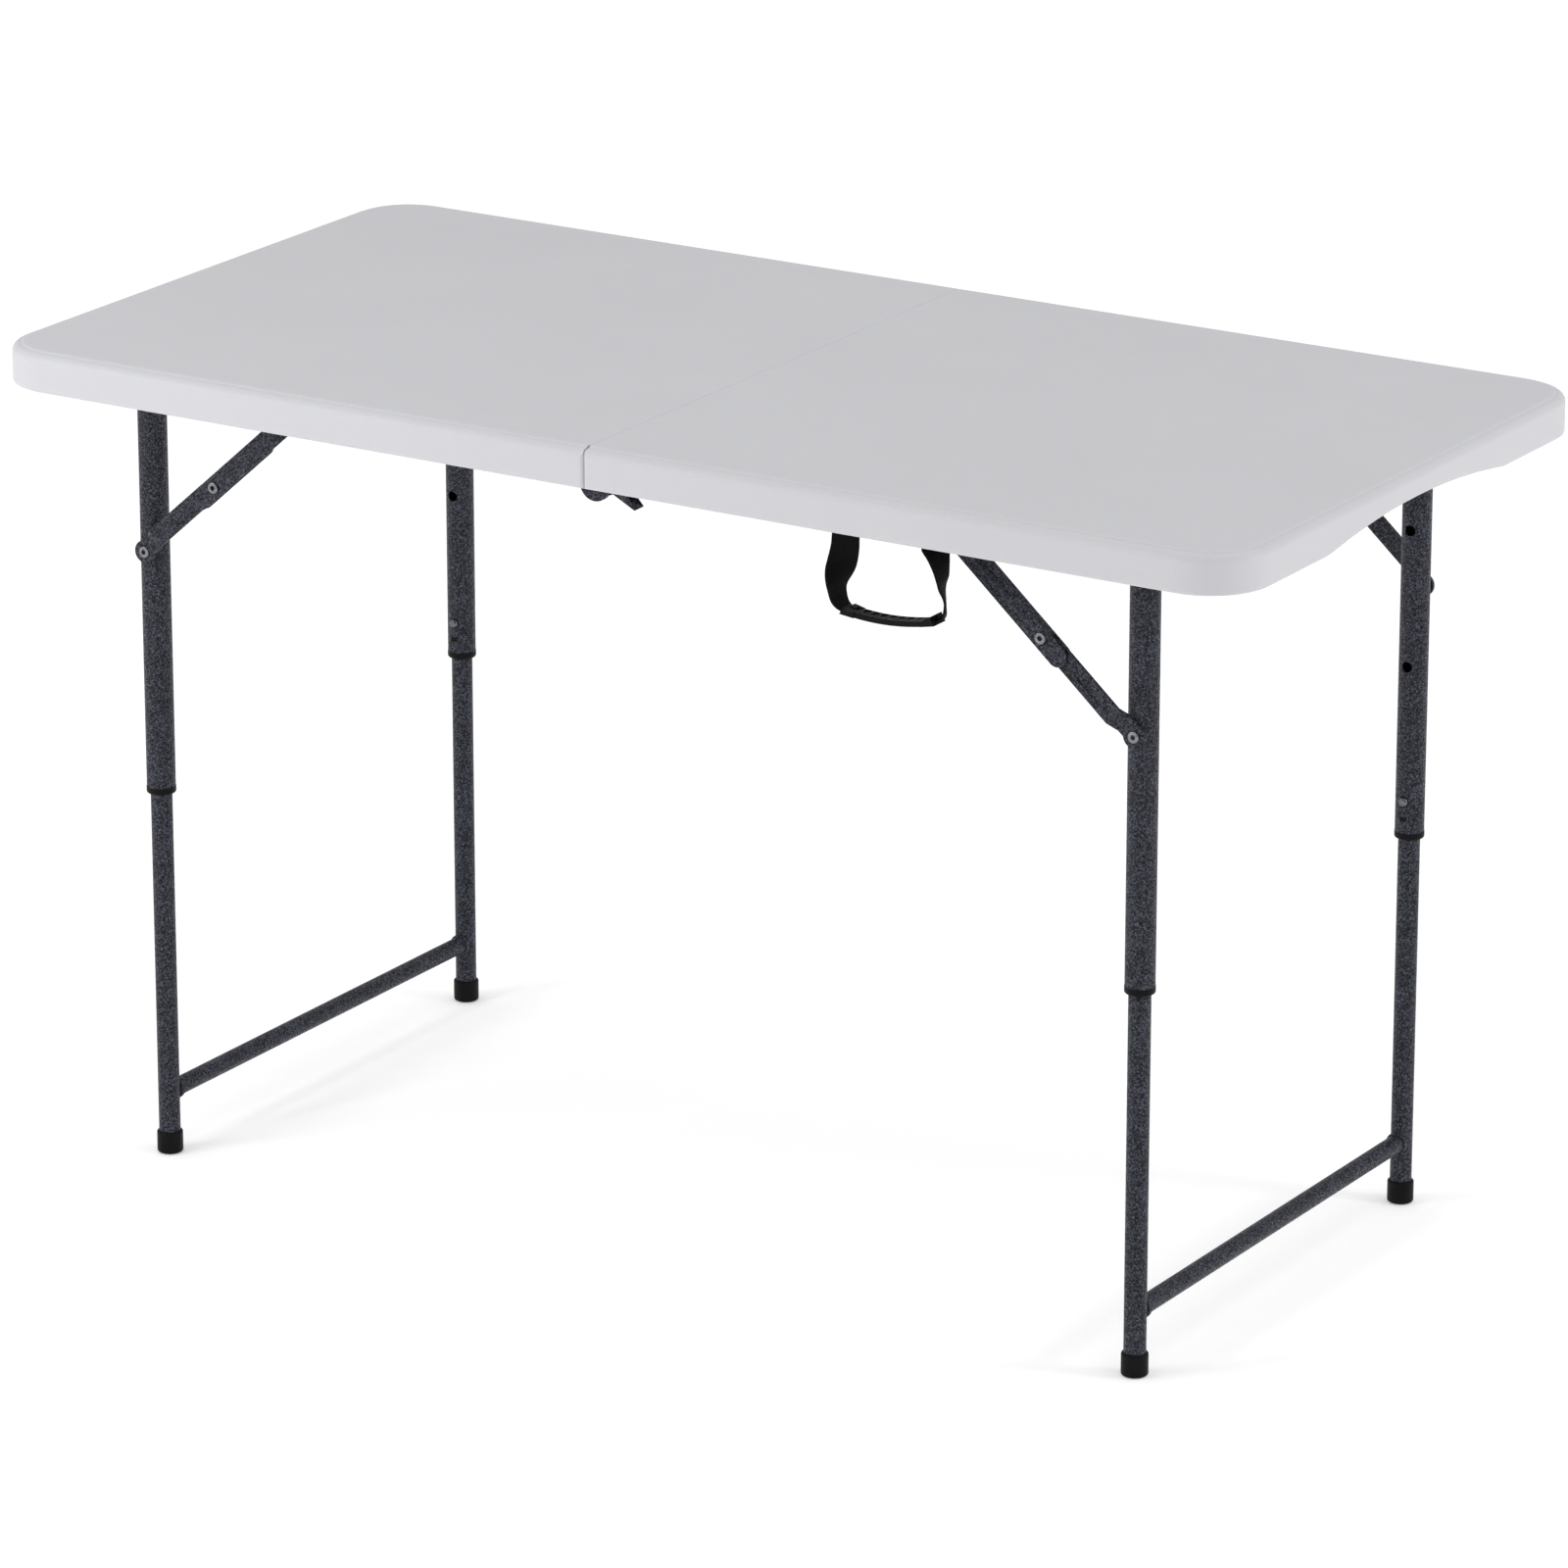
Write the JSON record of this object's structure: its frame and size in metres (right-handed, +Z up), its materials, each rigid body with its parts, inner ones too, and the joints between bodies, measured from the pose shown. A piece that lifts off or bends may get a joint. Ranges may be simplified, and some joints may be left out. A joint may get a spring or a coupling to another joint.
{
  "type": "folding table",
  "caption": "Fold-in-half table: white blow-moulded top, two folding telescopic leg frames with locking braces, and a webbing carrying handle.",
  "frame": {"origin": "on the floor, under the middle of the top", "axes": "+X along the length, towards the half with the handle; +Y towards the side away from the handle; +Z up"},
  "size_m": [1.22, 0.61, 0.735],
  "materials": {
    "top_plastic": "white blow-moulded polyethylene, fine grain",
    "hammered_steel": "dark blue-grey hammered powder coat",
    "black_plastic": "moulded black plastic",
    "webbing": "woven black webbing",
    "bright_steel": "bright zinc-plated steel"
  },
  "bodies": {
    "right_half": {"right_top_panel": "top_plastic", "right_front_rail": "hammered_steel", "right_rear_rail": "hammered_steel", "right_rail_screws": "bright_steel", "right_brace_pivot_pins": "bright_steel", "right_hinge_plates": "hammered_steel", "hinge_pins": "bright_steel", "latch_pins": "bright_steel", "handle_anchors": "bright_steel", "handle_screws": "bright_steel"},
    "left_half": {"left_top_panel": "top_plastic", "left_front_rail": "hammered_steel", "left_rear_rail": "hammered_steel", "left_rail_screws": "bright_steel", "left_brace_pivot_pins": "bright_steel", "left_hinge_plates": "hammered_steel"},
    "right_leg_frame": {"right_pivot_bar": "hammered_steel", "right_front_upper_leg": "hammered_steel", "right_rear_upper_leg": "hammered_steel", "right_leg_collars": "black_plastic"},
    "right_lower_legs": {"right_front_lower_leg": "hammered_steel", "right_rear_lower_leg": "hammered_steel", "right_lower_crossbar": "hammered_steel", "right_feet": "black_plastic", "right_leg_glides": "black_plastic", "right_button_springs": "bright_steel"},
    "right_front_button": {"right_front_snap_button": "bright_steel"},
    "right_front_upper_link": {"right_front_upper_brace_link": "hammered_steel"},
    "right_front_lower_link": {"right_front_lower_brace_link": "hammered_steel", "right_front_brace_rivets": "bright_steel"},
    "right_rear_button": {"right_rear_snap_button": "bright_steel"},
    "right_rear_upper_link": {"right_rear_upper_brace_link": "hammered_steel"},
    "right_rear_lower_link": {"right_rear_lower_brace_link": "hammered_steel", "right_rear_brace_rivets": "bright_steel"},
    "left_leg_frame": {"left_pivot_bar": "hammered_steel", "left_front_upper_leg": "hammered_steel", "left_rear_upper_leg": "hammered_steel", "left_leg_collars": "black_plastic"},
    "left_lower_legs": {"left_front_lower_leg": "hammered_steel", "left_rear_lower_leg": "hammered_steel", "left_lower_crossbar": "hammered_steel", "left_feet": "black_plastic", "left_leg_glides": "black_plastic", "left_button_springs": "bright_steel"},
    "left_front_button": {"left_front_snap_button": "bright_steel"},
    "left_front_upper_link": {"left_front_upper_brace_link": "hammered_steel"},
    "left_front_lower_link": {"left_front_lower_brace_link": "hammered_steel", "left_front_brace_rivets": "bright_steel"},
    "left_rear_button": {"left_rear_snap_button": "bright_steel"},
    "left_rear_upper_link": {"left_rear_upper_brace_link": "hammered_steel"},
    "left_rear_lower_link": {"left_rear_lower_brace_link": "hammered_steel", "left_rear_brace_rivets": "bright_steel"},
    "front_latch": {"front_latch_lever": "hammered_steel"},
    "rear_latch": {"rear_latch_lever": "hammered_steel"},
    "handle": {"handle_strap": "webbing", "handle_grip": "black_plastic"}
  },
  "joints": [
    {"name": "table_fold", "type": "hinge", "parent": "right_half", "child": "left_half", "pos_m": [0, 0, 0.7], "axis": [0, -1, 0], "range_deg": [0, 60]},
    {"name": "right_leg_fold", "type": "hinge", "parent": "right_half", "child": "right_leg_frame", "pos_m": [0.489, 0, 0.713], "axis": [0, 1, 0], "range_deg": [0, 90]},
    {"name": "right_leg_height", "type": "slide", "parent": "right_leg_frame", "child": "right_lower_legs", "axis": [0, 0, 1], "range_m": [0, 0.241], "deforming": ["right_front_snap_button", "right_rear_snap_button", "right_button_springs"]},
    {"name": "right_front_button_press", "type": "slide", "parent": "right_lower_legs", "child": "right_front_button", "axis": [0, -1, 0], "range_m": [0, 0.0042], "stiffness_N_per_m": 1500, "springref_m": -0.002},
    {"name": "right_front_brace_turn", "type": "hinge", "parent": "right_half", "child": "right_front_upper_link", "pos_m": [0.31041, -0.265, 0.713], "axis": [0, -1, 0], "range_deg": [0, 41.5]},
    {"name": "right_front_brace_knee", "type": "hinge", "parent": "right_front_upper_link", "child": "right_front_lower_link", "pos_m": [0.40742, -0.254, 0.62718], "axis": [0, 1, 0], "range_deg": [0, 180]},
    {"name": "right_rear_button_press", "type": "slide", "parent": "right_lower_legs", "child": "right_rear_button", "axis": [0, 1, 0], "range_m": [0, 0.0042], "stiffness_N_per_m": 1500, "springref_m": -0.002},
    {"name": "right_rear_brace_turn", "type": "hinge", "parent": "right_half", "child": "right_rear_upper_link", "pos_m": [0.31041, 0.265, 0.713], "axis": [0, -1, 0], "range_deg": [0, 41.5]},
    {"name": "right_rear_brace_knee", "type": "hinge", "parent": "right_rear_upper_link", "child": "right_rear_lower_link", "pos_m": [0.40742, 0.254, 0.62718], "axis": [0, 1, 0], "range_deg": [0, 180]},
    {"name": "left_leg_fold", "type": "hinge", "parent": "left_half", "child": "left_leg_frame", "pos_m": [-0.489, 0, 0.713], "axis": [0, -1, 0], "range_deg": [0, 90]},
    {"name": "left_leg_height", "type": "slide", "parent": "left_leg_frame", "child": "left_lower_legs", "axis": [0, 0, 1], "range_m": [0, 0.241], "deforming": ["left_front_snap_button", "left_rear_snap_button", "left_button_springs"]},
    {"name": "left_front_button_press", "type": "slide", "parent": "left_lower_legs", "child": "left_front_button", "axis": [0, -1, 0], "range_m": [0, 0.0042], "stiffness_N_per_m": 1500, "springref_m": -0.002},
    {"name": "left_front_brace_turn", "type": "hinge", "parent": "left_half", "child": "left_front_upper_link", "pos_m": [-0.31041, -0.265, 0.713], "axis": [0, 1, 0], "range_deg": [0, 41.5]},
    {"name": "left_front_brace_knee", "type": "hinge", "parent": "left_front_upper_link", "child": "left_front_lower_link", "pos_m": [-0.40742, -0.254, 0.62718], "axis": [0, -1, 0], "range_deg": [0, 180]},
    {"name": "left_rear_button_press", "type": "slide", "parent": "left_lower_legs", "child": "left_rear_button", "axis": [0, 1, 0], "range_m": [0, 0.0042], "stiffness_N_per_m": 1500, "springref_m": -0.002},
    {"name": "left_rear_brace_turn", "type": "hinge", "parent": "left_half", "child": "left_rear_upper_link", "pos_m": [-0.31041, 0.265, 0.713], "axis": [0, 1, 0], "range_deg": [0, 41.5]},
    {"name": "left_rear_brace_knee", "type": "hinge", "parent": "left_rear_upper_link", "child": "left_rear_lower_link", "pos_m": [-0.40742, 0.254, 0.62718], "axis": [0, -1, 0], "range_deg": [0, 180]},
    {"name": "front_latch_pull", "type": "hinge", "parent": "right_half", "child": "front_latch", "pos_m": [0.0123, -0.275, 0.6985], "axis": [0, -1, 0], "range_deg": [0, 35]},
    {"name": "rear_latch_pull", "type": "hinge", "parent": "right_half", "child": "rear_latch", "pos_m": [0.0123, 0.275, 0.6985], "axis": [0, -1, 0], "range_deg": [0, 35]},
    {"name": "handle_swing", "type": "hinge", "parent": "right_half", "child": "handle", "pos_m": [0.2805, -0.2886, 0.709], "axis": [1, 0, 0], "range_deg": [-18, 22]}
  ],
  "couplings": [
    {"joint": "right_front_brace_turn", "follows": "right_leg_fold", "ratio": 0.46111},
    {"joint": "right_front_brace_knee", "follows": "right_leg_fold", "ratio": 2},
    {"joint": "right_rear_brace_turn", "follows": "right_leg_fold", "ratio": 0.46111},
    {"joint": "right_rear_brace_knee", "follows": "right_leg_fold", "ratio": 2},
    {"joint": "left_front_brace_turn", "follows": "left_leg_fold", "ratio": 0.46111},
    {"joint": "left_front_brace_knee", "follows": "left_leg_fold", "ratio": 2},
    {"joint": "left_rear_brace_turn", "follows": "left_leg_fold", "ratio": 0.46111},
    {"joint": "left_rear_brace_knee", "follows": "left_leg_fold", "ratio": 2}
  ]
}
